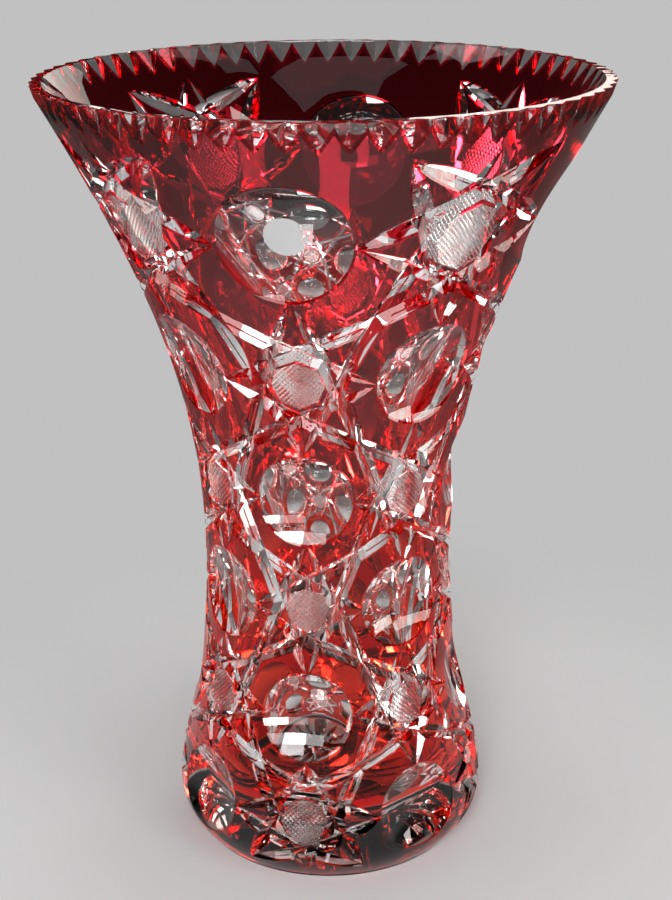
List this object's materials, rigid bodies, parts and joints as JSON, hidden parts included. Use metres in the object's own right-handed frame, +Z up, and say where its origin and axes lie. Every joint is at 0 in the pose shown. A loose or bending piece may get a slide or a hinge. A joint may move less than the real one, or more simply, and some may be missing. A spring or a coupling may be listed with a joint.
{
  "type": "cased cut crystal vase",
  "caption": "Waisted, flared crystal vase of ruby glass cased over clear, cut through with stars, hatched buttons, round lenses and a saw-tooth rim.",
  "frame": {"origin": "centre of the foot, on the surface that the vase stands on", "axes": "+Z up along the vase's axis; a column of the pattern with a lens at the top faces -Y"},
  "size_m": [0.2128, 0.2128, 0.305],
  "materials": {
    "clear_crystal": "polished, with hatched buttons left bright",
    "ruby_casing": "polished"
  },
  "bodies": {
    "root": {"crystal_body": "clear_crystal", "ruby_rim_band": "ruby_casing", "ruby_foot_band": "ruby_casing", "ruby_window_row2_column1": "ruby_casing", "ruby_window_row2_column3": "ruby_casing", "ruby_window_row2_column5": "ruby_casing", "ruby_window_row2_column7": "ruby_casing", "ruby_window_row3_column2": "ruby_casing", "ruby_window_row3_column4": "ruby_casing", "ruby_window_row3_column6": "ruby_casing", "ruby_window_row3_column8": "ruby_casing", "ruby_window_row4_column1": "ruby_casing", "ruby_window_row4_column3": "ruby_casing", "ruby_window_row4_column5": "ruby_casing", "ruby_window_row4_column7": "ruby_casing", "ruby_window_row5_column2": "ruby_casing", "ruby_window_row5_column4": "ruby_casing", "ruby_window_row5_column6": "ruby_casing", "ruby_window_row5_column8": "ruby_casing"}
  },
  "joints": []
}
